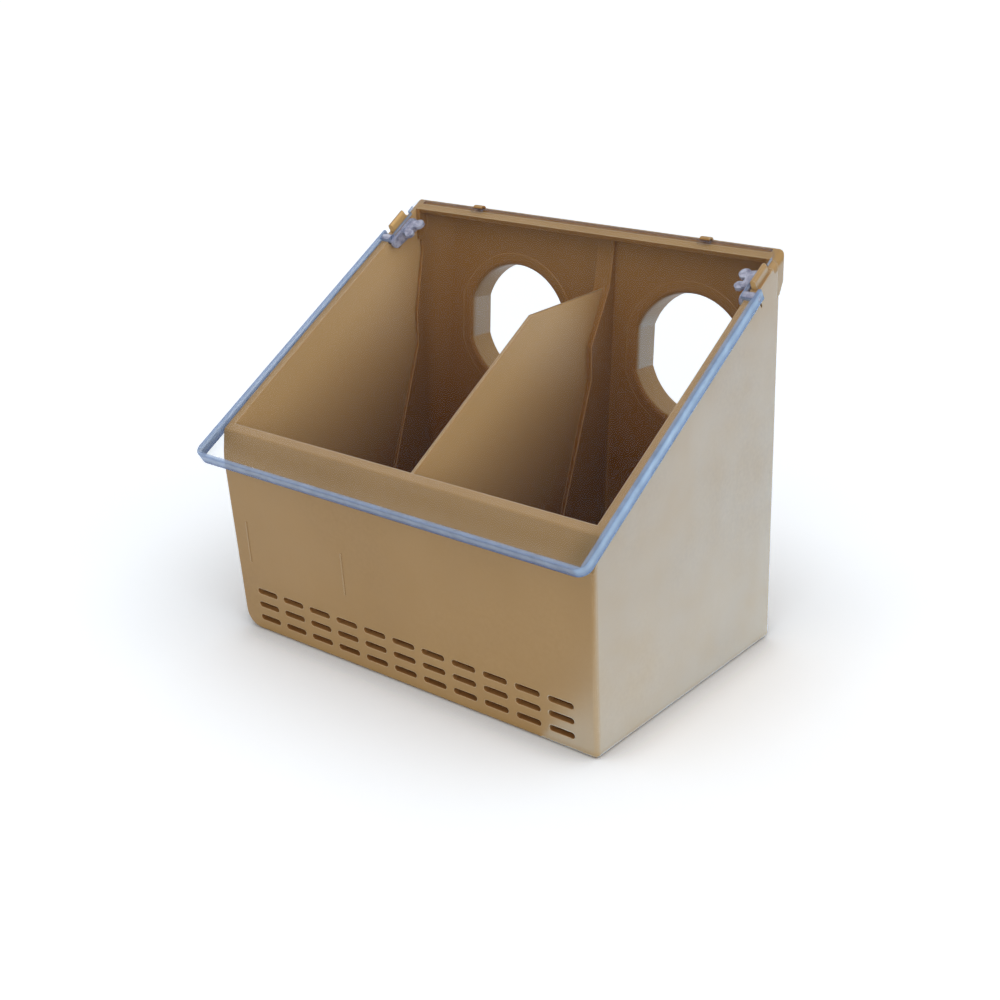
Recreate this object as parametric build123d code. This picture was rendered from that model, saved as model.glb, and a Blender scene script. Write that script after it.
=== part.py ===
from build123d import *
import math
import os

os.makedirs("parts", exist_ok=True)

# Two-compartment outside feeder for pigeons.
# Sizes are in millimetres. X runs across the front, Y to the rear and Z up.
# The origin is the centre of the flat base.

# Tub, outside
body_width = 250.0
body_depth = 160.8
front_lean = 0.041          # how far the front wall leans out, per mm of height
front_side_lean = 0.022     # the same for the side walls at their front edge
rear_side_lean = 0.001      # and at their rear edge
rear_edge_lean = 0.009      # how far the rear edges of the side walls lean in
left_foot_radius = 10.5     # rounded lower edges, as the photograph shows them
right_foot_radius = 2.8
rear_foot_radius = 5.0
corner_radius = 2.4         # rounded outline of the front wall
rear_radius = 1.2           # and of the rear edges of the side walls
loft_height = 240.0         # taller than the tub, the rim plane cuts it

# Rim plane of the opening, which slopes down to the front
rim_angle = 30.96
rim_height = 167.74         # height of the rim plane over the middle of the base
opening_front = 76.3        # from the middle to the inner edge of the front rim
rail_front = 76.4           # from the middle to the front edge of the rear rail
rim_thickness = 3.0

# Tub, inside
floor_thickness = 3.0
wall_foot = 3.4             # wall thickness at the base
front_inner_lean = 0.0124
rear_inner_lean = -0.0057

# Step under the rim at the front
step_height = 101.0
step_depth = 0.6
step_angle = 10.0
shelf_drop = 8.0            # the wall behind the step thins out over this height
front_top_round = 2.2

# Air slots
slot_columns = 11
slot_rows = 3
slot_length = 15.8
slot_height = 3.4
slot_margin = 13.25         # from the outermost slots to the base's sides
slot_pitch_z = 8.33
lowest_slot = 8.7

# Two thin raised bars beside the bare place on the front
bar_width = 1.0
bar_proud = 0.35
bar_low = 42.5
bar_high = 68.0
left_bar_inset = 10.8       # from the base's left side to the bars
right_bar_inset = 84.8

# Notched tabs on the side walls
tab_front = 66.8            # measured along the rim plane from the middle
tab_rear = 82.3
tab_height = 5.5
tab_foot = 4.0              # how deep the tab is rooted in the wall
tab_slant = 0.8
tab_round = 1.5
tab_inner_step = 0.9        # from the wall's faces to the tab's
tab_outer_step = 0.8
slit_width = 1.3
slit_depth = 9.5

# Back panel
panel_thickness = 2.4
panel_foot = 78.0           # inner face of the rear wall at the base
panel_lean = 0.075          # how far the rear wall leans out, per mm of height
pocket_drop = 7.6           # from the rail's rear lip down to the pocket's ceiling
pocket_foot_radius = 4.0    # upright rear corners inside, at the base
pocket_top_radius = 16.0    # and at the pocket's top
return_thickness = 2.0
return_foot = 23.5          # front edge of the side returns at the floor
return_low_y = 69.8
return_low_z = 131.0
return_mid_y = 70.4
return_mid_z = 151.0
return_high_y = 78.0
return_high_z = 188.0
return_top_y = 82.4
return_top_z = 203.5
seat_gap = 0.2              # between pieces that are pushed together

# Rear rail
rail_rear = 83.2            # from the middle to the rail's rear face
rail_corner = 1.5
rear_top_round = 3.5        # outer top edges of the walls behind the tabs
cap_bottom = 195.0
cap_slant_top = 204.0
groove_centre = 94.9        # measured along the rim plane from the middle

# Keepers over the lid's bead
left_keeper_share = 0.6     # place of the keepers, as a share of the rail's half width
right_keeper_share = 0.635
keeper_width = 6.0
keeper_thickness = 1.1
keeper_reach = 118.0        # degrees of the bead that a keeper goes round
keeper_root = 0.9           # below the bead's centre
keeper_room = 0.8           # around a keeper in the lid's window

# Feeding holes
hole_z = 148.0
hole_radius = 36.0
hole_flat = 34.0            # half width between the upright flats
collar_length = 16.3
collar_wall = 2.2
collar_taper = 2.0
hole_round = 2.8
round_steps = 4             # flats that make up the rounded lip
ring_offset = 7.0
ring_proud = 0.4

# Divider and the cheeks that hold it
divider_x = 8.0
divider_thickness = 1.8
divider_drop = 0.7          # below the rim plane
divider_kink_y = 22.0
divider_top = 180.0
cheek_front = 1.6
cheek_rear = 4.4
cheek_top_proud = 1.2       # how far the cheeks stand out from the rear wall at its top
cheek_slope_z = 181.0
cheek_slope_y = 86.7

# Lid
lid_gap = 0.3
lid_thickness = 2.0
lid_front = 116.0           # measured along the rim plane from the middle
lid_overhang = 4.6          # past the base's sides, over the middle of the base
lid_taper = 0.026
lid_rim_depth = 6.2
lid_rim_thickness = 1.7
lid_corner = 6.5
lid_rim_end = 66.1
lid_side_gap = 0.6          # beside the tabs and keepers
notch_gap = 1.2             # behind the tabs
lid_ear_inset = 3.0         # of the lid's sides behind the tabs, from the walls' outer faces
lid_ear_round = 4.0
bead_radius = 1.1
bead_inset = 7.0            # from the rail's ends to the bead's
bead_setback = 0.9          # from the bead's centre to the sheet's rear edge
neck_length = 1.0           # of the sheet's rear edge that thins down to the bead
neck_drop = 0.4
bead_gap = 0.35
bead_rise = 0.3             # bead centre over the rim plane

# Snap clips of the lid
pin_place = 62.5            # measured along the rim plane from the middle
pin_drop = 0.6
pin_radius = 2.6
pin_gap = 0.6
spigot_radius = 1.4
spigot_gap = 0.1
arm_gap = 0.9
arm_thickness = 2.2
arm_end_radius = 3.1
arm_rear = 79.0
arm_rear_radius = 4.2
wing_thickness = 2.0
wing_drop = 0.9
lobe_reach = 8.2            # from the arm to the middle of a lobe
lobe_place = 78.2
lobe_radius = 3.3
small_lobe_reach = 7.2
small_lobe_place = 69.8
small_lobe_radius = 2.7
waist_inset = 2.0           # of the wing's free edge between the lobes

# Values that follow from the sizes above
rim_sin = math.sin(math.radians(rim_angle))
rim_cos = math.cos(math.radians(rim_angle))
rim_plane = Plane(origin=(0, 0, rim_height), x_dir=(1, 0, 0), z_dir=(0, -rim_sin, rim_cos))
half_depth = body_depth / 2
lid_half = body_width / 2 + lid_overhang
far = 400.0                 # longer than anything that it cuts
near = 0.1                  # within this distance an edge counts as lying on a plane


def rim_point(along, above):
    """Y and Z of a point given along the rim plane and above it."""
    return (along * rim_cos - above * rim_sin, rim_height + along * rim_sin + above * rim_cos)


def rim_z(y):
    """Height of the rim plane at a depth."""
    return rim_height + y * math.tan(math.radians(rim_angle))


rail_half = body_width / 2 + rear_side_lean * rim_z(rail_rear)
bead_half = rail_half - bead_inset
keeper_places = {-1: -left_keeper_share * rail_half, 1: right_keeper_share * rail_half}
pocket_top = rim_z(rail_rear) - pocket_drop


def side_profile(points, x_low, x_high):
    """Solid with a profile in the YZ plane, from one X to another."""
    outline = Polyline(*[(x_low, y, z) for y, z in points], close=True)
    return extrude(make_face(outline), amount=x_high - x_low, dir=(1, 0, 0))


def slab(points, above_low, above_high):
    """Solid with an outline on the rim plane, from one height above it to another."""
    outline = Polyline(*points, close=True)
    flat = rim_plane.offset(above_low) * make_face(outline)
    return extrude(flat, amount=above_high - above_low, dir=rim_plane.z_dir)


def rim_cylinder(radius, along, above, x_low, x_high):
    """Round bar along X at a place on the rim plane."""
    y, z = rim_point(along, above)
    place = Plane(origin=(x_low, y, z), z_dir=(1, 0, 0))
    return extrude(place * Circle(radius), amount=x_high - x_low)


def side_x(z, y, foot, front_rate, rear_rate):
    """Half width of a side face that leans more at its front edge than at its rear edge."""
    share = (half_depth - y) / body_depth
    return foot + z * (rear_rate + (front_rate - rear_rate) * share)


def outer_x(z, y):
    return side_x(z, y, body_width / 2, front_side_lean, rear_side_lean)


def inner_x(z, y):
    return side_x(z, min(y, half_depth), body_width / 2 - wall_foot, front_inner_lean, rear_inner_lean)


def front_inner_y(z):
    return -half_depth + wall_foot - front_lean * z


def section(z, depths, half_width):
    """Level outline from the half widths at a few depths, given from front to rear."""
    right = [(half_width(z, y), y, z) for y in depths]
    left = [(-x, y, z) for x, y, z in reversed(right)]
    return make_face(Polyline(*right, *left, close=True))


def hollow(gap):
    """Inside of the tub, drawn in by a gap for what stands in it."""
    low = floor_thickness + gap
    depths = (-body_depth, half_depth, far)
    sections = [section(z, depths, lambda z, y: inner_x(z, y) - gap) for z in (low, loft_height)]
    inner = loft(sections, ruled=True)
    low_edges = [e for e in inner.edges() if e.center().Z < low + near]
    left_edges = [e for e in low_edges if e.center().X < -body_width / 4]
    return fillet(left_edges, radius=left_foot_radius - wall_foot - gap)


def front_hollow(gap):
    """Line that the inside follows at the front, from the rim down."""
    shelf_low = step_height - shelf_drop
    return [
        (-opening_front + gap, far),
        (-opening_front + gap, step_height),
        (front_inner_y(shelf_low) + gap, shelf_low),
        (front_inner_y(floor_thickness) + gap, floor_thickness),
        (front_inner_y(floor_thickness) + gap, -far),
    ]


def make_tub():
    depths = (-body_depth, body_depth)
    outer = loft([section(0, depths, outer_x), section(loft_height, depths, outer_x)], ruled=True)
    outer = outer & side_profile(
        [
            (-half_depth, 0),
            (half_depth, 0),
            (half_depth - rear_edge_lean * loft_height, loft_height),
            (-half_depth - front_lean * loft_height, loft_height),
        ],
        -far,
        far,
    )
    for order, radius in ((0, left_foot_radius), (-1, right_foot_radius)):
        low_sides = outer.faces().sort_by(Axis.Z)[0].edges().filter_by(Axis.Y)
        outer = fillet(low_sides.sort_by(Axis.X)[order], radius=radius)
    for order, radius in ((0, corner_radius), (-1, rear_radius)):
        outline = outer.faces().sort_by(Axis.Y)[order].edges()
        outer = fillet([e for e in outline if e.center().Z < loft_height - 1], radius=radius)
    outer = outer - rounding_of_rear_foot()

    tub = outer - (hollow(0) & side_profile(front_hollow(0) + [(far, -far), (far, far)], -far, far))
    above_rim = [(-far, rim_z(-far)), (far, rim_z(far)), (far, far + rim_height), (-far, far)]
    above = side_profile(above_rim, -far, far)
    tub = tub - above

    # The step under the front rim, above which the wall leans back
    step_y = -half_depth - front_lean * step_height + step_depth
    lean_y = step_y + (loft_height - step_height) * math.tan(math.radians(step_angle))
    step = side_profile(
        [(-far, step_height), (step_y, step_height), (lean_y, loft_height), (-far, loft_height)], -far, far
    )
    tub = tub - step
    front_edges = [e for e in tub.edges() if e.length > body_width / 2 and e.center().Y < -opening_front - 1]
    front_top = max(front_edges, key=lambda e: e.center().Z)
    band_height = front_top.center().Z - step_height
    tub = fillet(front_top, radius=min(front_top_round, 0.45 * band_height))

    # Air slots in the front wall
    middle_slot = lowest_slot + (slot_rows - 1) / 2 * slot_pitch_z
    slot_plane = Plane(
        origin=(0, -half_depth - front_lean * middle_slot, middle_slot),
        x_dir=(1, 0, 0),
        z_dir=(0, -1, -front_lean),
    )
    slot_pitch_x = (body_width - 2 * slot_margin - slot_length) / (slot_columns - 1)
    slots = Sketch() + [
        place * SlotOverall(slot_length, slot_height)
        for place in GridLocations(slot_pitch_x, slot_pitch_z, slot_columns, slot_rows)
    ]
    tub = tub - extrude(slot_plane.offset(-2 * wall_foot) * slots, amount=4 * wall_foot)

    # Thin raised bars beside the bare place
    for inset in (left_bar_inset, right_bar_inset):
        x = inset - body_width / 2
        face_low = -half_depth - front_lean * bar_low
        face_high = -half_depth - front_lean * bar_high
        bar = side_profile(
            [
                (face_low + 1, bar_low),
                (face_low - bar_proud, bar_low + bar_proud),
                (face_high - bar_proud, bar_high - bar_proud),
                (face_high + 1, bar_high),
            ],
            x - bar_width / 2,
            x + bar_width / 2,
        )
        tub = tub + bar

    # The side walls stop short of the rail's end caps
    cap_room = side_profile(
        [
            (rail_front - seat_gap, cap_bottom - seat_gap),
            (far, cap_bottom - seat_gap),
            (far, far),
            (rail_front - seat_gap, far),
        ],
        -far,
        far,
    )
    tub = tub - cap_room

    tub = tub - rounding_of_rear_top()

    for side in (-1, 1):
        tub = tub + make_tab(side)
        tub = tub - make_notch(side)
    return tub


def rounding_of_rear_foot():
    """What is cut from the lower rear edge."""
    y = half_depth - rear_foot_radius
    z = rear_foot_radius
    corner = side_profile([(y, -far), (far, -far), (far, z), (y, z)], -far, far)
    place = Plane(origin=(-far, y, z), z_dir=(1, 0, 0))
    return corner - extrude(place * Circle(rear_foot_radius), amount=2 * far)


def rounding_of_rear_top():
    """What is cut from the outer top edges of the walls behind the tabs."""
    start = rim_point(tab_rear + lid_side_gap, 0)
    radius = rear_top_round
    cut = None
    for side in (-1, 1):
        plan = Plane(origin=(side * rail_half, *start), x_dir=(1, 0, 0), z_dir=(0, rim_cos, rim_sin))
        corner = Pos(side * radius / 2, 0) * Rectangle(3 * radius, 2 * radius)
        profile = corner - Pos(-side * radius, radius) * Circle(radius)
        bar = extrude(plan * profile, amount=body_depth)
        cut = bar if cut is None else cut + bar
    return cut


def tab_faces():
    """Inner and outer X of a tab."""
    outer = outer_x(rim_z(rail_front), rail_front) - tab_outer_step
    inner = inner_x(rim_z(rail_front), rail_front) + tab_inner_step
    return inner, outer


def make_tab(side):
    inner, outer = tab_faces()
    points = [
        rim_point(tab_front, -tab_foot),
        rim_point(tab_front + tab_slant, tab_height),
        rim_point(tab_rear - 2 * tab_slant, tab_height),
        rim_point(tab_rear, -tab_foot),
    ]
    x_low, x_high = sorted((side * inner, side * outer))
    tab = side_profile(points, x_low, x_high)
    top_z = rim_point(tab_front, tab_height)[1]
    top_edges = [e for e in tab.edges() if e.center().Z > top_z - 1.0 and e.length > 5]
    return fillet(top_edges, radius=tab_round)


def make_notch(side):
    """Open notch for the clip's pin, and the slit that lets the tab flex."""
    half = pin_radius + pin_gap
    low = -pin_drop - pin_radius - pin_gap
    above = tab_height
    slit_rear = pin_place + half
    x_low, x_high = sorted((side * (body_width / 2 - 4 * wall_foot), side * far))
    notch = side_profile(
        [
            rim_point(pin_place - half, above),
            rim_point(pin_place - half, low + half),
            rim_point(slit_rear, low + half),
            rim_point(slit_rear, above),
        ],
        x_low,
        x_high,
    )
    slit = side_profile(
        [
            rim_point(slit_rear - slit_width, low + half),
            rim_point(slit_rear - slit_width, -slit_depth),
            rim_point(slit_rear, -slit_depth),
            rim_point(slit_rear, low + half),
        ],
        x_low,
        x_high,
    )
    return notch + rim_cylinder(half, pin_place, low + half, x_low, x_high) + slit


def panel_inner_y(z):
    return panel_foot + panel_lean * z


def pocket_section(z, grow_x, grow_y, front_y):
    """Outline of the back panel's pocket at a height, round at the rear corners."""
    half = inner_x(z, half_depth) - seat_gap - return_thickness + grow_x
    rear = panel_inner_y(z) + grow_y
    radius = pocket_foot_radius + (pocket_top_radius - pocket_foot_radius) * z / pocket_top
    radius = radius + (grow_x + grow_y) / 2
    outline = Polyline(
        (-half, rear - radius, z),
        (-half, front_y, z),
        (half, front_y, z),
        (half, rear - radius, z),
    )
    right_arc = RadiusArc((half, rear - radius, z), (half - radius, rear, z), -radius)
    rear_line = Line((half - radius, rear, z), (-half + radius, rear, z))
    left_arc = RadiusArc((-half + radius, rear, z), (-half, rear - radius, z), -radius)
    return make_face(outline + right_arc + rear_line + left_arc)


def hole_outline(grow):
    """A circle cut by two upright flats."""
    cut = Rectangle(2 * (hole_flat + grow), 4 * hole_radius)
    return Circle(hole_radius + grow) & cut


def make_back_panel():
    foot = floor_thickness + seat_gap
    top = pocket_top + panel_thickness
    outer = loft(
        [
            pocket_section(foot, return_thickness, panel_thickness, 0),
            pocket_section(top, return_thickness, panel_thickness, 0),
        ],
        ruled=True,
    )
    inner = loft([pocket_section(foot - 1, 0, 0, -20), pocket_section(top + 1, 0, 0, -20)], ruled=True)
    outer = outer & hollow(seat_gap)
    shell = outer - inner
    in_front = side_profile(
        [
            (-far, foot - 5),
            (return_foot, foot - 5),
            (return_foot, foot),
            (return_low_y, return_low_z),
            (return_mid_y, return_mid_z),
            (return_high_y, return_high_z),
            (return_high_y, cap_bottom),
            (return_top_y, return_top_z),
            (return_top_y, far),
            (-far, far),
        ],
        -far,
        far,
    )
    shell = shell - in_front
    rear_plate_front = rail_rear - panel_thickness
    ceiling_room = Pos(0, rear_plate_front + far / 2, pocket_top + panel_thickness / 2) * Box(
        2 * far, far, panel_thickness
    )
    panel = shell + (outer & ceiling_room)
    panel = panel + make_rail()
    panel = panel + make_cheeks()
    wall_x = inner_x(hole_z, half_depth)
    for side in (-1, 1):
        panel = add_hole(panel, (side * wall_x + divider_x) / 2)
    return panel


def make_rail():
    """Grooved rail over the rear wall, with end caps and keepers."""
    front_low = rim_point(rail_front / rim_cos, -rim_thickness)
    front_high = rim_point(rail_front / rim_cos, 0)
    rear_high = (rail_rear, rim_z(rail_rear))
    rear_plate_front = rail_rear - panel_thickness
    section = [
        (front_low[0], front_low[1]),
        (front_high[0], front_high[1]),
        rear_high,
        (rail_rear, pocket_top),
        (rear_plate_front, pocket_top),
        (rear_plate_front, rim_z(rear_plate_front) - rim_thickness / rim_cos),
    ]
    rail = side_profile(section, -rail_half, rail_half)
    cap = [
        (rail_front, cap_bottom),
        front_high,
        rear_high,
        (rail_rear, cap_slant_top),
        (half_depth - rear_edge_lean * cap_bottom, cap_bottom),
    ]
    cap_inner = inner_x(cap_bottom, half_depth) - seat_gap - return_thickness
    for side in (-1, 1):
        x_low, x_high = sorted((side * rail_half, side * cap_inner))
        rail = rail + side_profile(cap, x_low, x_high)
    corners = [
        e for e in rail.edges()
        if abs(abs(e.center().X) - rail_half) < near and abs(e.center().Y - rail_rear) < near
    ]
    rail = fillet(corners, radius=rail_corner)
    groove_half = bead_half + bead_gap
    groove = rim_cylinder(bead_radius + bead_gap, groove_centre, bead_rise, -groove_half, groove_half)
    rail = rail - rounding_of_rear_top() - groove
    for side in (-1, 1):
        rail = rail + make_keeper(keeper_places[side])
    return rail


def make_keeper(x):
    """Hook that curls from the rail's rear edge over the lid's bead."""
    inner = bead_radius + bead_gap
    outer = inner + keeper_thickness
    x_low = x - keeper_width / 2
    x_high = x + keeper_width / 2
    ring = rim_cylinder(outer, groove_centre, bead_rise, x_low, x_high)
    centre = (groove_centre, bead_rise)
    reach = math.radians(keeper_reach)
    wide = 4 * outer
    wedge = side_profile(
        [
            rim_point(*centre),
            rim_point(centre[0] + wide * math.cos(reach), centre[1] + wide * math.sin(reach)),
            rim_point(centre[0], centre[1] + 2 * wide),
            rim_point(centre[0] + 2 * wide, centre[1]),
            rim_point(centre[0] + wide, centre[1] - keeper_root),
            rim_point(centre[0], centre[1] - keeper_root),
        ],
        x_low,
        x_high,
    )
    return (ring & wedge) - rim_cylinder(inner, groove_centre, bead_rise, x_low, x_high)


def make_cheeks():
    """The two cheeks in the middle that hold the divider's rear end."""
    front = [
        (return_foot, floor_thickness + seat_gap),
        (return_low_y, return_low_z),
        (return_mid_y, return_mid_z),
        (cheek_slope_y, cheek_slope_z),
        (panel_inner_y(pocket_top) - cheek_top_proud, pocket_top),
        (panel_inner_y(pocket_top) + 1, pocket_top),
        (panel_inner_y(floor_thickness) + 1, floor_thickness + seat_gap),
    ]
    slot_half = divider_thickness / 2 + seat_gap
    block = side_profile(front, divider_x - slot_half - cheek_rear, divider_x + slot_half + cheek_rear)
    rear_y = panel_inner_y(pocket_top)
    plan = Polyline(
        (divider_x - slot_half - cheek_front, return_foot, 0),
        (divider_x + slot_half + cheek_front, return_foot, 0),
        (divider_x + slot_half + cheek_rear, rear_y, 0),
        (divider_x - slot_half - cheek_rear, rear_y, 0),
        close=True,
    )
    tapered = extrude(make_face(plan), amount=far, dir=(0, 0, 1))
    slot = Pos(divider_x, 0, divider_top / 2) * Box(2 * slot_half, 2 * far, divider_top + 2 * seat_gap)
    return (block & tapered) - slot_trim(slot)


def slot_trim(slot):
    """The divider's slot stops at the inner face of the rear wall."""
    in_front = side_profile(
        [
            (-far, 0),
            (panel_inner_y(0), 0),
            (panel_inner_y(pocket_top), pocket_top),
            (-far, pocket_top),
        ],
        -far,
        far,
    )
    return slot & in_front


def add_hole(panel, x):
    lean = math.atan(panel_lean)
    normal = (0, math.cos(lean), -math.sin(lean))
    face = Plane(origin=(x, panel_inner_y(hole_z), hole_z), x_dir=(1, 0, 0), z_dir=normal)
    ring = extrude(face.offset(-ring_proud) * hole_outline(ring_offset), amount=ring_proud, dir=normal)
    collar = extrude(face * hole_outline(collar_wall), amount=collar_length, taper=collar_taper)
    bore = extrude(face * hole_outline(0), amount=collar_length, taper=collar_taper)
    in_front = face.offset(-2 * panel_thickness)
    mouth = extrude(in_front * hole_outline(0), amount=2 * panel_thickness, dir=normal)
    panel = panel + ring + collar - bore - mouth
    rounding = []
    for step in range(round_steps + 1):
        turn = math.radians(90 * step / round_steps)
        depth = hole_round * (1 - math.cos(turn))
        growth = hole_round * (1 - math.sin(turn))
        rounding.append(face.offset(depth - ring_proud) * hole_outline(growth))
    return panel - loft(rounding, ruled=True)


def make_divider():
    low = floor_thickness + seat_gap
    drop = -divider_drop
    top_front_y = -opening_front + seat_gap
    points = [(top_front_y, rim_z(top_front_y) + drop / rim_cos)]
    points += front_hollow(seat_gap)[1:3]
    points += [
        (front_inner_y(low) + seat_gap, low),
        (panel_inner_y(low) - seat_gap, low),
        (panel_inner_y(divider_top) - seat_gap, divider_top),
        (divider_kink_y, rim_z(divider_kink_y) + drop / rim_cos),
    ]
    half = divider_thickness / 2
    return side_profile(points, divider_x - half, divider_x + half)


def lid_edge(along):
    """Half width of the lid at a place along the rim plane."""
    return lid_half - lid_taper * along * rim_cos


def lid_slab(inset, rear, low, high):
    """Slice of the lid with rounded front corners, drawn in from the edge."""
    front = -lid_front + inset
    outline = Polyline(
        (-lid_edge(front) + inset, front),
        (lid_edge(front) - inset, front),
        (lid_edge(rear) - inset, rear),
        (-lid_edge(rear) + inset, rear),
        close=True,
    )
    plan = make_face(outline)
    corners = plan.vertices().sort_by(Axis.Y)[:2]
    plan = fillet(corners, radius=lid_corner - inset)
    return extrude(rim_plane.offset(low) * plan, amount=high - low, dir=rim_plane.z_dir)


def make_lid():
    rear = groove_centre - bead_setback
    top = lid_gap + lid_thickness
    rim_low = top - lid_rim_depth
    sheet = lid_slab(0, rear, lid_gap, top)
    rim = lid_slab(0, lid_rim_end, rim_low, lid_gap)
    hollow = lid_slab(lid_rim_thickness, lid_rim_end + 1, rim_low - 1, lid_gap)
    lid = sheet + (rim - hollow)

    # The rear edge thins down to the bead, so that it clears the rail as the lid tips up
    neck = side_profile(
        [
            rim_point(rear - neck_length, lid_gap),
            rim_point(rear, lid_gap),
            rim_point(groove_centre, bead_rise),
            rim_point(groove_centre, bead_rise + bead_radius),
            rim_point(rear, top - neck_drop),
            rim_point(rear - neck_length, top - neck_drop),
        ],
        -bead_half,
        bead_half,
    )
    lid = lid + neck + rim_cylinder(bead_radius, groove_centre, bead_rise, -bead_half, bead_half)

    # Notches for the tabs and windows for the keepers
    for side in (-1, 1):
        front = pin_place - pin_radius - pin_gap
        rear_end = tab_rear + notch_gap
        notch = [
            (side * arm_outer_x(), front),
            (side * (lid_edge(front) - lid_rim_thickness), front),
            (side * (lid_edge(lid_rim_end) - lid_rim_thickness), lid_rim_end),
            (side * far, lid_rim_end),
            (side * far, rear_end),
            (side * arm_outer_x(), rear_end),
        ]
        lid = lid - slab(notch, lid_gap - 1, top + 1) - ear_trim(side, rear_end, rear)
        keeper_low = keeper_places[side] - keeper_width / 2 - lid_side_gap
        keeper_high = keeper_places[side] + keeper_width / 2 + lid_side_gap
        reach = bead_radius + bead_gap + keeper_thickness + keeper_room
        gap = slab(
            [
                (keeper_low, groove_centre - reach),
                (keeper_high, groove_centre - reach),
                (keeper_high, groove_centre + reach),
                (keeper_low, groove_centre + reach),
            ],
            lid_gap - 1,
            top + 1,
        )
        bead = rim_cylinder(bead_radius, groove_centre, bead_rise, keeper_low, keeper_high)
        lid = lid - gap + bead
        rim_inner = pin_outer_x(pin_place)
        hole_low, hole_high = sorted((side * (rim_inner - 1), side * (rim_inner + 2 * lid_rim_thickness)))
        lid = lid - rim_cylinder(spigot_radius + spigot_gap, pin_place, -pin_drop, hole_low, hole_high)
    return lid


def ear_trim(side, front, rear):
    """What is cut from the sheet's outer edge behind a tab, down to a rounded rear corner."""
    edge = rail_half - lid_ear_inset
    length = rear - front + 2
    strip = Pos(side * (edge + lid_rim_depth), front + length / 2) * Rectangle(2 * lid_rim_depth, length)
    half = lid_ear_round / 2
    square = Pos(side * (edge - half), rear - half) * Rectangle(2 * half, 2 * half)
    disc = Pos(side * (edge - lid_ear_round), rear - lid_ear_round) * Circle(lid_ear_round)
    plan = strip + (square - disc)
    low = lid_gap - 1
    return extrude(rim_plane.offset(low) * plan, amount=lid_thickness + 2, dir=rim_plane.z_dir)


def pin_outer_x(along):
    """X of the inside of the lid's rim at a place."""
    return lid_edge(along) - lid_rim_thickness


def arm_outer_x():
    """X of the face of the clip's arm that is next to the wall."""
    return inner_x(rim_z(rail_front), rail_front) - arm_gap


def make_clip(side):
    """Snap clip: a pin through the wall's notch, an arm inside the wall and a finger wing."""
    arm_outer = arm_outer_x()
    arm_inner = arm_outer - arm_thickness
    x_low, x_high = sorted((side * arm_inner, side * arm_outer))
    arm = rim_cylinder(arm_end_radius, pin_place, -arm_end_radius, x_low, x_high)
    arm = arm + rim_cylinder(arm_rear_radius, arm_rear, -arm_rear_radius, x_low, x_high)
    arm = arm + side_profile(
        [
            rim_point(pin_place, 0),
            rim_point(arm_rear, 0),
            rim_point(arm_rear, -2 * arm_rear_radius),
            rim_point(pin_place, -2 * arm_end_radius),
        ],
        x_low,
        x_high,
    )
    pin_low, pin_high = sorted((side * arm_outer, side * pin_outer_x(pin_place + pin_radius)))
    clip = arm + rim_cylinder(pin_radius, pin_place, -pin_drop, pin_low, pin_high)
    spigot_end = pin_outer_x(pin_place + pin_radius) + lid_rim_thickness
    spigot_low, spigot_high = sorted((side * arm_outer, side * spigot_end))
    clip = clip + rim_cylinder(spigot_radius, pin_place, -pin_drop, spigot_low, spigot_high)

    # Finger wing with two lobes, flat in the rim plane
    low = -wing_drop - wing_thickness
    flat = rim_plane.offset(low)
    lobe_x = arm_outer - lobe_reach
    small_lobe_x = arm_outer - small_lobe_reach
    lobes = Pos(side * lobe_x, lobe_place) * Circle(lobe_radius)
    lobes = lobes + Pos(side * small_lobe_x, small_lobe_place) * Circle(small_lobe_radius)
    neck = make_face(
        Polyline(
            (side * arm_outer, lobe_place + lobe_radius),
            (side * lobe_x, lobe_place + lobe_radius / 2),
            (side * (lobe_x + waist_inset), (lobe_place + small_lobe_place) / 2),
            (side * small_lobe_x, small_lobe_place - small_lobe_radius / 2),
            (side * arm_outer, small_lobe_place),
            close=True,
        )
    )
    wing = extrude(flat * (lobes + neck), amount=wing_thickness, dir=rim_plane.z_dir)
    return clip + wing


def write(name, shape):
    shape.label = name
    export_step(shape, f"parts/{name}.step")


write("tub", make_tub())
write("back_panel", make_back_panel())
write("divider", make_divider())
write("lid", make_lid())
write("left_clip", make_clip(-1))
write("right_clip", make_clip(1))
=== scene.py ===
import bpy
import math
from mathutils import Matrix, Vector

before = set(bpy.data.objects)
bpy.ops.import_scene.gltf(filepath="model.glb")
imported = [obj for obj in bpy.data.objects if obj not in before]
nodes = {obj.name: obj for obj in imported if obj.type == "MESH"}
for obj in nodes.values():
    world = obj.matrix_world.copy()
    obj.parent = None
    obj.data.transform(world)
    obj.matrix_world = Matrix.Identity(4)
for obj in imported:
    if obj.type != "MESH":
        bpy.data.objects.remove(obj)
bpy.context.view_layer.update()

# Camera, in the model's frame, in metres, degrees and, for the lens and sensor, millimetres
camera_place = (0.509813, -0.603465, 0.404213)
camera_azimuth = 40.123
camera_elevation = 22.343
camera_roll = -1.991
camera_lens = 56.045
camera_sensor = 36.0
camera_near = 0.01

# Ranges that values are spread over: rising, falling, and the part of a noise that is used
rising = (0.0, 1.0)
falling = (1.0, 0.0)
noise_core = (0.35, 0.65)
noise_middle = (0.3, 0.7)

# Rim plane of the tub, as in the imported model, in metres
rim_angle = math.radians(30.96)
rim_height = 0.16774
rim_along = Vector((0.0, math.cos(rim_angle), math.sin(rim_angle)))
rim_above = Vector((0.0, -math.sin(rim_angle), math.cos(rim_angle)))
upward = Vector((0.0, 0.0, 1.0))

# Lid, from the middle of its depth: half its width there, how much that draws in per metre to the
# rear, and how far away its front edge is
lid_half = 0.1296
lid_draw_in = 0.026
lid_taper = lid_draw_in * math.cos(rim_angle)
lid_front = 0.116

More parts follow.
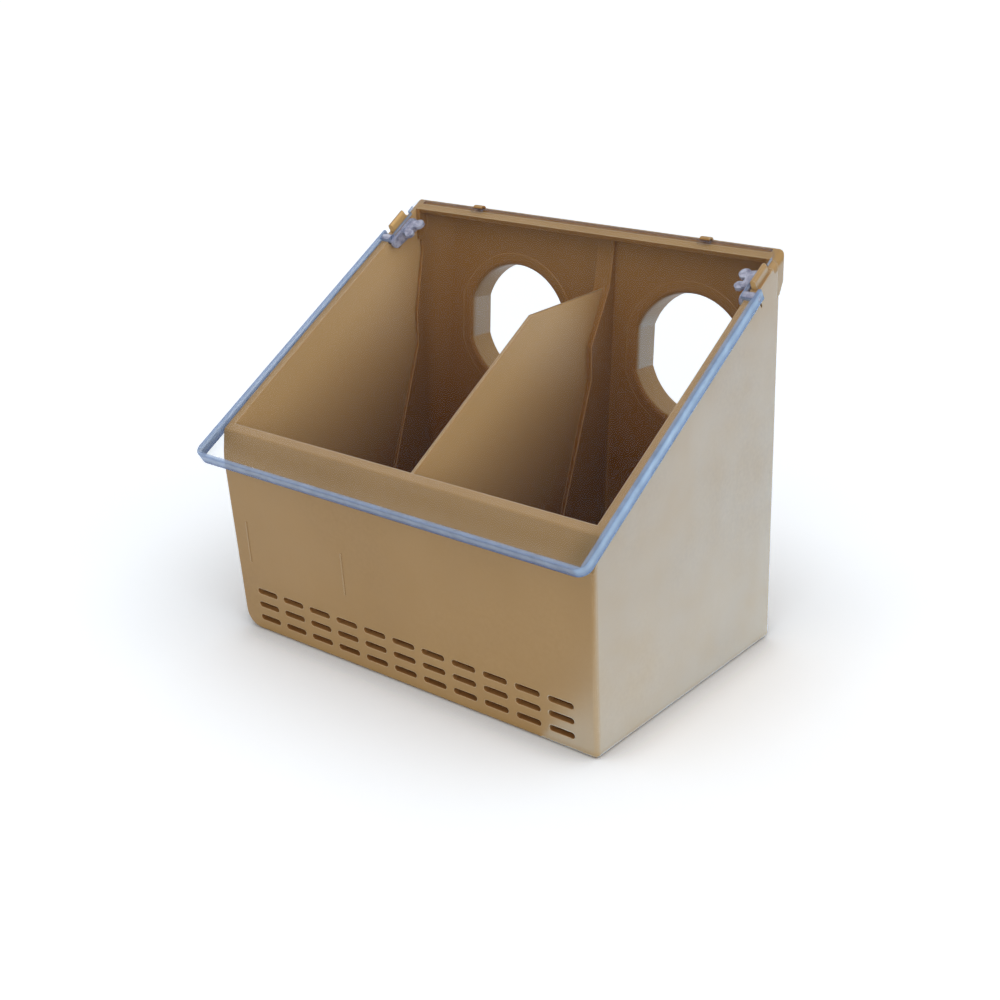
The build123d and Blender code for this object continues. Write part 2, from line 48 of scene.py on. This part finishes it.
# Lid's rim: its width, and the heights from the rim plane where its colour turns from painted
# light on top to painted shade at the foot
rim_width = 0.0019
rim_band = (rim_width, 1.4 * rim_width)
rim_top = 0.0023
rim_low = -0.0039
upper_rim = (0.4 * rim_top, rim_top)
lower_rim = (0.9 * rim_low, 0.1 * rim_low)
upright_range = (0.90, 0.97)       # from an upright face to one that lies in the rim plane
rear_edge = (0.088, 0.089)         # behind this stretch the lid's edge hardly shows
rear_edge_share = 0.2
corner_width = (0.0, 0.016)        # the sheet gets greyer towards its front corners
corner_depth = (0.0, 0.030)

# Inside of the feeder: middle of the hollow, and where the rear wall's inner face is
hollow_centre = Vector((0.0, 0.0, 0.09))
outward_range = (0.035, 0.045)     # a face that looks outward this far from the middle is outside
panel_normal = Vector((0.0, 1.0, -0.075))
panel_range = (0.0785, 0.0795)
# Painted light and shade inside: the colour is painted paler from low down up towards the rim
inside_range = (-0.120, -0.015)    # heights from the rim plane between which the inside gets paler

# Gloss of the tan plastic, as the shader's specular level. The edge of the foot is dull
tub_gloss = 0.5
rear_gloss = 0.3
inner_gloss = 0.08
dull_range = (0.0005, 0.0045)      # heights between which the gloss comes in

# Colours, as linear values
tan_base = (0.400, 0.238, 0.086)
tan_light = (0.432, 0.264, 0.102)
tan_dark = (0.345, 0.200, 0.068)
# Pale edge colours, partly wear and partly a painted highlight
tan_worn_highlight = (0.700, 0.540, 0.340)
tan_worn_highlight_inside = (0.620, 0.330, 0.120)
# Painted shade in the crevices
tan_crevice_shade = (0.270, 0.115, 0.030)
# Painted light and shade inside: pale near the rim, deep low down, and a darker shaded copy for
# the rear panel
tan_inside_lit = (0.690, 0.440, 0.185)
tan_rear_shade = (0.370, 0.185, 0.055)
tan_deep_shade = (0.165, 0.048, 0.004)
# Lid rim colours: painted light on top, a painted highlight streak, and painted shade at the foot
clear_lit_top = (0.30, 0.41, 0.62)
clear_painted_highlight = (0.50, 0.62, 0.80)
clear_shaded_foot = (0.08, 0.13, 0.32)
clear_depth = (0.62, 0.70, 0.84)
clear_sheet_tint = (0.975, 0.978, 0.985)
clear_corner_tint = (0.78, 0.80, 0.80)
frost_light = (0.58, 0.60, 0.74)
frost_dark = (0.30, 0.30, 0.44)
frost_depth = (0.85, 0.88, 0.95)

# Noises: how fine they are, per metre, and their levels of detail
tan_clouds = (9.0, 3.0)
tan_flecks = (420.0, 4.0)
tan_smears = (60.0, 3.0)
tan_grain = (1100.0, 2.0)
tan_waves = (18.0, 1.0)
rim_haze = (55.0, 3.0)
rim_scratches = (260.0, 2.0)
rim_murk = (120.0, 2.0)
sheet_dust = (300.0, 4.0)
clip_clouds = (260.0, 3.0)
clip_ripples = (400.0, 2.0)

# Bumps: their strength, and their depth in metres
grain_bump = (0.05, 0.0002)
wave_bump = (0.10, 0.002)
scratch_bump = (0.08, 0.0002)
ripple_bump = (0.15, 0.0003)

# Tan plastic: a painted shade in crevices by how open they are, and pale edges, partly wear and
# partly a painted highlight, by how well two normals match
tan_ior = 1.47
tan_roughness = (0.34, 0.44)
fleck_share = (0.2, 0.8)
crevice_shade_reach = 0.004
crevice_shade_range = (0.35, 0.80)
crevice_shade_share = (0.75, 0.0)
plain_edge_range = (0.0, 0.3)
tan_edge_radius = 0.0009
tan_edge_highlight_range = (0.995, 0.90)
tan_edge_highlight_share = (0.0, 0.75)
fine_samples = 6

# Clear plastic of the lid and milky plastic of its clips
clear_ior = 1.5
clear_edge_radius = 0.0007
rim_roughness = 0.18
rim_haze_share = (0.0, 0.35)
rim_cover = (0.48, 0.66)
rim_samples = 4
sheet_roughness = 0.06
sheet_dust_range = (0.3, 0.8)
sheet_shine = (0.002, 0.012)
clip_roughness = 0.22
# Painted highlight on the edges of the clips
clip_highlight_range = (0.99, 0.85)
clip_highlight_share = (0.0, 0.8)
clip_cover = (0.62, 0.85)

# Lights, and how bright the world looks where it is seen
white_light = (1.0, 1.0, 1.0, 1.0)
world_strength = 0.30
seen_strength = 1.0
key_direction = (0.62, -0.47, 1.00)
key_strength = 1.86
key_angle = math.radians(105.0)

# Gloss lamps, which only the shine of a surface sees: name, place, target, size, power and colour
gloss_lamps = (
    ("right_card", (0.66, 0.40, 0.0005), (0.66, 0.40, 1.0), (1.14, 1.10), 12.8, (0.38, 0.71, 1.0)),
    ("top_card", (-1.10, 0.00, 1.50), (0.0, 0.0, 0.15), (1.20, 1.20), 4.0, (1.0, 1.0, 1.0)),
)

# Floor, in metres. Within each reach of the object, a place that is less open gets a darker
# painted shadow
floor_half_size = 30.0
floor_drop = 0.0002
floor_albedo = 0.9
floor_samples = 8
floor_reach = 0.15
floor_open = (0.5, 1.0)
floor_shade = (1.08, 1.40)
contact_reach = 0.022
contact_open = (0.5, 0.95)
contact_shade = (0.74, 1.0)
floor_tint = (0.98, 1.02, 1.065)   # evens out the warm light that the object throws on it

# How shader nodes are laid out, and the places of the colour sockets of a mix node
node_spacing = 200.0
mix_inputs = (6, 7)
mix_output = 2


def add_node(tree, kind, **values):
    """A shader node beside the one before it, with its properties and input values set."""
    node = tree.nodes.new(kind)
    node.location = (node_spacing * len(tree.nodes), 0.0)
    for key, value in values.items():
        if key in node.inputs:
            node.inputs[key].default_value = value
        else:
            setattr(node, key, value)
    return node


def new_material(name):
    """A new material, its node tree and that tree's output node."""
    material = bpy.data.materials.new(name)
    material.use_nodes = True
    tree = material.node_tree
    tree.nodes.clear()
    return material, tree, add_node(tree, "ShaderNodeOutputMaterial")


def object_vector(tree):
    """Place of a point of the surface, in metres, as it is at rest."""
    return add_node(tree, "ShaderNodeTexCoord").outputs["Object"]


def object_normal(tree):
    """Direction that the surface faces, as it is at rest."""
    return add_node(tree, "ShaderNodeTexCoord").outputs["Normal"]


def noise(tree, vector, kind):
    scale, detail = kind
    node = add_node(tree, "ShaderNodeTexNoise", Scale=scale, Detail=detail)
    tree.links.new(vector, node.inputs["Vector"])
    return node.outputs["Fac"]


def spread(tree, factor, source, target):
    """Maps a value from one range to another, held at the ends."""
    node = add_node(tree, "ShaderNodeMapRange")
    node.inputs["From Min"].default_value, node.inputs["From Max"].default_value = source
    node.inputs["To Min"].default_value, node.inputs["To Max"].default_value = target
    tree.links.new(factor, node.inputs["Value"])
    return node.outputs["Result"]


def calculate(tree, operation, first, second=None):
    """Works on one or two values, each a number or a node's output."""
    node = add_node(tree, "ShaderNodeMath", operation=operation)
    for value, socket in zip((first, second), node.inputs):
        if isinstance(value, (int, float)):
            socket.default_value = value
        elif value is not None:
            tree.links.new(value, socket)
    return node.outputs[0]


def dot(tree, vector, direction):
    node = add_node(tree, "ShaderNodeVectorMath", operation="DOT_PRODUCT")
    tree.links.new(vector, node.inputs[0])
    if isinstance(direction, Vector):
        node.inputs[1].default_value = direction
    else:
        tree.links.new(direction, node.inputs[1])
    return node.outputs["Value"]


def blend_colours(tree, factor, first, second):
    node = add_node(tree, "ShaderNodeMix", data_type="RGBA")
    tree.links.new(factor, node.inputs["Factor"])
    for value, index in zip((first, second), mix_inputs):
        if isinstance(value, tuple):
            node.inputs[index].default_value = (*value, 1.0)
        else:
            tree.links.new(value, node.inputs[index])
    return node.outputs[mix_output]


def blend_shaders(tree, factor, first, second):
    node = add_node(tree, "ShaderNodeMixShader")
    for value, socket in zip((factor, first, second), node.inputs):
        tree.links.new(value, socket)
    return node.outputs[0]


def bumped(tree, height, bump, normal):
    """Normal that follows the slopes of a height."""
    strength, distance = bump
    node = add_node(tree, "ShaderNodeBump", Strength=strength, Distance=distance)
    tree.links.new(height, node.inputs["Height"])
    tree.links.new(normal, node.inputs["Normal"])
    return node.outputs["Normal"]


def soft_edges(tree, radius, samples):
    """Normal that is rounded off near edges."""
    return add_node(tree, "ShaderNodeBevel", samples=samples, Radius=radius).outputs["Normal"]


def edge_share(tree, soft_normal, match_range, share):
    """Grows from flat faces to sharp edges, where the rounded normal leaves the true one."""
    true_normal = add_node(tree, "ShaderNodeNewGeometry").outputs["True Normal"]
    return spread(tree, dot(tree, soft_normal, true_normal), match_range, share)


def inside_share(tree, vector):
    """1 on faces that look into the feeder, in front of the rear wall, and 0 outside."""
    place = add_node(tree, "ShaderNodeVectorMath", operation="SUBTRACT")
    tree.links.new(vector, place.inputs[0])
    place.inputs[1].default_value = hollow_centre
    outward = dot(tree, object_normal(tree), place.outputs[0])
    facing = spread(tree, outward, outward_range, falling)
    depth = dot(tree, vector, panel_normal)
    in_front = spread(tree, depth, panel_range, falling)
    return calculate(tree, "MULTIPLY", facing, in_front)


def rim_coordinates(tree, vector):
    """Place along the rim plane, and height above it."""
    along = dot(tree, vector, rim_along)
    along = calculate(tree, "SUBTRACT", along, rim_height * math.sin(rim_angle))
    above = dot(tree, vector, rim_above)
    above = calculate(tree, "SUBTRACT", above, rim_height * math.cos(rim_angle))
    return along, above


def tan_colour(tree, vector, inside, painted_high_inside):
    """Faint clouds and flecks outside, and inside a painted colour that is a deep painted shade
    low down and gets paler upwards, a painted light, towards the rim.
    """
    clouds = spread(tree, noise(tree, vector, tan_clouds), noise_core, rising)
    flecks = spread(tree, noise(tree, vector, tan_flecks), noise_middle, fleck_share)
    outer_colour = blend_colours(tree, clouds, tan_dark, tan_light)
    outer_colour = blend_colours(tree, flecks, tan_base, outer_colour)
    # Painted shade deep inside, turning to painted light towards the rim
    above = rim_coordinates(tree, vector)[1]
    painted_lightness = spread(tree, above, inside_range, rising)
    inner_painted_shade = blend_colours(tree, painted_lightness, tan_deep_shade, painted_high_inside)
    return blend_colours(tree, inside, outer_colour, inner_painted_shade)


def tan_gloss(tree, vector, inside, gloss):
    """Glossy outside, nearly dull inside, and dull on the edge of the foot."""
    polished = spread(tree, dot(tree, vector, upward), dull_range, rising)
    shine = spread(tree, inside, rising, (gloss, inner_gloss))
    return calculate(tree, "MULTIPLY", shine, polished)


def tan_plastic(name, painted_high_inside, gloss):
    """Satin moulded plastic: faint clouding, fine grain, pale edges that are partly wear and
    partly a painted highlight, a painted shade in the crevices, and painted light and shade
    inside.
    """
    material, tree, output = new_material(name)
    vector = object_vector(tree)
    inside = inside_share(tree, vector)
    colour = tan_colour(tree, vector, inside, painted_high_inside)

    hollow = add_node(
        tree,
        "ShaderNodeAmbientOcclusion",
        samples=fine_samples,
        only_local=True,
        Distance=crevice_shade_reach,
    )
    # Painted shade: crevices are darkened the more closed in they are
    crevice_shade = spread(tree, hollow.outputs["AO"], crevice_shade_range, crevice_shade_share)
    colour = blend_colours(tree, crevice_shade, colour, tan_crevice_shade)

    # Edges are painted pale, partly as wear and partly as a painted highlight, but not in the
    # crevices
    soft_normal = soft_edges(tree, tan_edge_radius, fine_samples)
    edge = edge_share(tree, soft_normal, tan_edge_highlight_range, tan_edge_highlight_share)
    in_the_open = spread(tree, crevice_shade, plain_edge_range, falling)
    open_edge_highlight = calculate(tree, "MULTIPLY", edge, in_the_open)
    worn_highlight = blend_colours(tree, inside, tan_worn_highlight, tan_worn_highlight_inside)
    colour = blend_colours(tree, open_edge_highlight, colour, worn_highlight)

    roughness = spread(tree, noise(tree, vector, tan_smears), noise_middle, tan_roughness)
    normal = bumped(tree, noise(tree, vector, tan_grain), grain_bump, soft_normal)
    normal = bumped(tree, noise(tree, vector, tan_waves), wave_bump, normal)
    shader = add_node(tree, "ShaderNodeBsdfPrincipled", IOR=tan_ior)
    tree.links.new(colour, shader.inputs["Base Color"])
    tree.links.new(roughness, shader.inputs["Roughness"])
    tree.links.new(tan_gloss(tree, vector, inside, gloss), shader.inputs["Specular IOR Level"])
    tree.links.new(normal, shader.inputs["Normal"])
    tree.links.new(shader.outputs["BSDF"], output.inputs["Surface"])
    return material


def edge_distances(tree, vector, along):
    """Distance of a point of the lid to its nearest side edge, and to its front edge."""
    split = add_node(tree, "ShaderNodeSeparateXYZ")
    tree.links.new(vector, split.inputs[0])
    across = calculate(tree, "ABSOLUTE", split.outputs["X"])
    taper = calculate(tree, "MULTIPLY", along, lid_taper)
    half = calculate(tree, "SUBTRACT", lid_half, taper)
    side = calculate(tree, "SUBTRACT", half, across)
    front = calculate(tree, "ADD", along, lid_front)
    return side, front


def rim_share(tree, along, side, front):
    """1 on the lid's edges and upright faces, little along its rear edge and 0 on the sheet."""
    nearest = calculate(tree, "MINIMUM", side, front)
    near_edge = spread(tree, nearest, rim_band, falling)
    flat = calculate(tree, "ABSOLUTE", dot(tree, object_normal(tree), rim_above))
    upright = spread(tree, flat, upright_range, falling)
    share = calculate(tree, "MAXIMUM", near_edge, upright)
    rear_share = spread(tree, along, rear_edge, (1.0, rear_edge_share))
    return calculate(tree, "MULTIPLY", share, rear_share)


def lid_rim(tree, vector, above):
    """Rim of the lid: painted light on top, a painted white highlight streak below that and a
    painted shade of deeper blue at the foot.
    """
    upper = spread(tree, above, upper_rim, rising)
    lower = spread(tree, above, lower_rim, rising)
    haze = spread(tree, noise(tree, vector, rim_haze), noise_middle, rim_haze_share)
    # Painted shade at the foot, a painted highlight streak above it and painted light on top
    colour = blend_colours(tree, lower, clear_shaded_foot, clear_painted_highlight)
    colour = blend_colours(tree, upper, colour, clear_lit_top)
    colour = blend_colours(tree, haze, colour, clear_lit_top)
    soft_normal = soft_edges(tree, clear_edge_radius, rim_samples)
    normal = bumped(tree, noise(tree, vector, rim_scratches), scratch_bump, soft_normal)
    rim = add_node(tree, "ShaderNodeBsdfPrincipled", Roughness=rim_roughness, IOR=clear_ior)
    tree.links.new(colour, rim.inputs["Base Color"])
    tree.links.new(normal, rim.inputs["Normal"])
    through = add_node(tree, "ShaderNodeBsdfTransparent", Color=(*clear_depth, 1.0))
    cover = spread(tree, noise(tree, vector, rim_murk), noise_middle, rim_cover)
    return blend_shaders(tree, cover, through.outputs[0], rim.outputs["BSDF"])


def lid_sheet(tree, vector, side, front):
    """Sheet of the lid: clear, a little greyer in its front corners, with a faint dusty shine."""
    in_width = spread(tree, side, corner_width, falling)
    in_depth = spread(tree, front, corner_depth, falling)
    corner = calculate(tree, "MULTIPLY", in_width, in_depth)
    tint = blend_colours(tree, corner, clear_sheet_tint, clear_corner_tint)
    clear = add_node(tree, "ShaderNodeBsdfTransparent")
    tree.links.new(tint, clear.inputs["Color"])
    shine = add_node(tree, "ShaderNodeBsdfGlossy", Roughness=sheet_roughness)
    shine_share = spread(tree, noise(tree, vector, sheet_dust), sheet_dust_range, sheet_shine)
    return blend_shaders(tree, shine_share, clear.outputs[0], shine.outputs[0])


def clear_lid():
    """Clear sheet that hardly shows, with a bluish rim whose painted highlights and painted shade
    stand for the light its edges gather.
    """
    material, tree, output = new_material("clear_lid")
    vector = object_vector(tree)
    along, above = rim_coordinates(tree, vector)
    side, front = edge_distances(tree, vector, along)
    share = rim_share(tree, along, side, front)
    sheet = lid_sheet(tree, vector, side, front)
    surface = blend_shaders(tree, share, sheet, lid_rim(tree, vector, above))
    tree.links.new(surface, output.inputs["Surface"])
    return material


def frosted_clip():
    """Milky clear plastic of the small clips, with a painted highlight on its edges."""
    material, tree, output = new_material("frosted_clip")
    vector = object_vector(tree)
    soft_normal = soft_edges(tree, clear_edge_radius, fine_samples)
    edge = edge_share(tree, soft_normal, clip_highlight_range, clip_highlight_share)
    clouds = spread(tree, noise(tree, vector, clip_clouds), noise_core, rising)
    colour = blend_colours(tree, clouds, frost_dark, frost_light)
    # Painted highlight along the edges
    colour = blend_colours(tree, edge, colour, clear_painted_highlight)
    normal = bumped(tree, noise(tree, vector, clip_ripples), ripple_bump, soft_normal)
    shader = add_node(tree, "ShaderNodeBsdfPrincipled", Roughness=clip_roughness, IOR=clear_ior)
    tree.links.new(colour, shader.inputs["Base Color"])
    tree.links.new(normal, shader.inputs["Normal"])
    through = add_node(tree, "ShaderNodeBsdfTransparent", Color=(*frost_depth, 1.0))
    cover = spread(tree, clouds, rising, clip_cover)
    surface = blend_shaders(tree, cover, through.outputs[0], shader.outputs["BSDF"])
    tree.links.new(surface, output.inputs["Surface"])
    return material


def dress(name, material):
    """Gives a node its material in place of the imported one."""
    obj = nodes[name]
    obj.data.materials.clear()
    obj.data.materials.append(material)


def add_object(name, data):
    """A lamp, camera or mesh, put into the scene."""
    obj = bpy.data.objects.new(name, data)
    bpy.context.scene.collection.objects.link(obj)
    return obj


def make_camera():
    """The photograph's camera, from its place, its direction and its roll."""
    azimuth = math.radians(camera_azimuth)
    elevation = math.radians(camera_elevation)
    roll = math.radians(camera_roll)
    level = math.cos(elevation)
    forward = Vector((-math.sin(azimuth) * level, math.cos(azimuth) * level, -math.sin(elevation)))
    level_right = Vector((math.cos(azimuth), math.sin(azimuth), 0.0))
    level_up = level_right.cross(forward)
    right = level_right * math.cos(roll) + level_up * math.sin(roll)
    up = -level_right * math.sin(roll) + level_up * math.cos(roll)
    data = bpy.data.cameras.new("photo_camera")
    data.lens = camera_lens
    data.sensor_width = camera_sensor
    data.clip_start = camera_near
    camera = add_object("photo_camera", data)
    turn = Matrix((right, up, -forward)).transposed().to_4x4()
    camera.matrix_world = Matrix.Translation(camera_place) @ turn
    bpy.context.scene.camera = camera


def aim(lamp, direction):
    lamp.rotation_euler = Vector(direction).to_track_quat("-Z", "Y").to_euler()


def make_sun():
    """Wide soft light from the front, the right and above."""
    data = bpy.data.lights.new("key_sun", "SUN")
    data.energy = key_strength
    data.angle = key_angle
    aim(add_object("key_sun", data), -Vector(key_direction))


def make_gloss_lamp(name, place, target, size, power, colour):
    """A flat rectangular lamp that shows only in the shine of a surface."""
    data = bpy.data.lights.new(name, "AREA")
    data.shape = "RECTANGLE"
    data.size, data.size_y = size
    data.energy = power
    data.color = colour
    lamp = add_object(name, data)
    lamp.location = place
    aim(lamp, Vector(target) - Vector(place))
    lamp.visible_camera = False
    lamp.visible_diffuse = False
    lamp.visible_transmission = False


def seen_directly(tree):
    """1 for what the camera sees, also in a reflection or through clear plastic."""
    path = add_node(tree, "ShaderNodeLightPath").outputs
    seen = calculate(tree, "MAXIMUM", path["Is Camera Ray"], path["Is Glossy Ray"])
    return calculate(tree, "MAXIMUM", seen, path["Is Transmission Ray"])


def make_world():
    """Soft grey light all round, seen as plain white."""
    world = bpy.data.worlds.new("studio")
    bpy.context.scene.world = world
    world.use_nodes = True
    tree = world.node_tree
    tree.nodes.clear()
    output = add_node(tree, "ShaderNodeOutputWorld")
    soft = add_node(tree, "ShaderNodeBackground", Color=white_light, Strength=world_strength)
    white = add_node(tree, "ShaderNodeBackground", Color=white_light, Strength=seen_strength)
    surface = blend_shaders(tree, seen_directly(tree), soft.outputs[0], white.outputs[0])
    tree.links.new(surface, output.inputs["Surface"])


def painted_floor_shadow(tree, reach, openness, shade):
    """Painted shadow: gets darker where the object is within reach."""
    near = add_node(tree, "ShaderNodeAmbientOcclusion", samples=floor_samples, Distance=reach)
    return spread(tree, near.outputs["AO"], openness, shade)


def floor_paint():
    """Paint that looks white in the open, greyer near the object by a painted shadow, and lights
    it as plain paint.
    """
    material, tree, output = new_material("floor_paint")
    # Painted shadow near the object, a wide one and one at the contact
    wide = painted_floor_shadow(tree, floor_reach, floor_open, floor_shade)
    contact = painted_floor_shadow(tree, contact_reach, contact_open, contact_shade)
    shade = calculate(tree, "MULTIPLY", wide, contact)
    seen = seen_directly(tree)
    unseen = calculate(tree, "SUBTRACT", 1.0, seen)
    white = calculate(tree, "MULTIPLY", seen, shade)
    plain = calculate(tree, "MULTIPLY", unseen, floor_albedo)
    tint = add_node(tree, "ShaderNodeVectorMath", operation="SCALE")
    tint.inputs[0].default_value = floor_tint
    tree.links.new(calculate(tree, "ADD", white, plain), tint.inputs["Scale"])
    paint = add_node(tree, "ShaderNodeBsdfDiffuse")
    tree.links.new(tint.outputs[0], paint.inputs["Color"])
    tree.links.new(paint.outputs[0], output.inputs["Surface"])
    return material


def make_floor():
    """Plain white floor that keeps the object's soft shadow, deepened by a painted shadow."""
    size = floor_half_size
    mesh = bpy.data.meshes.new("floor")
    corners = [(-size, -size, 0), (size, -size, 0), (size, size, 0), (-size, size, 0)]
    mesh.from_pydata(corners, [], [(0, 1, 2, 3)])
    mesh.materials.append(floor_paint())
    floor = add_object("floor", mesh)
    floor.location = (0.0, 0.0, -floor_drop)


make_camera()
make_sun()
for lamp_values in gloss_lamps:
    make_gloss_lamp(*lamp_values)
make_world()
make_floor()

tub_plastic = tan_plastic("tan_plastic", tan_inside_lit, tub_gloss)
clip_plastic = frosted_clip()
dress("tub", tub_plastic)
dress("divider", tub_plastic)
# The rear panel gets a shaded copy of the tan plastic, painted darker inside
dress("back_panel", tan_plastic("tan_rear_shaded_plastic", tan_rear_shade, rear_gloss))
dress("lid", clear_lid())
dress("left_clip", clip_plastic)
dress("right_clip", clip_plastic)

bpy.context.scene.view_settings.view_transform = "Standard"
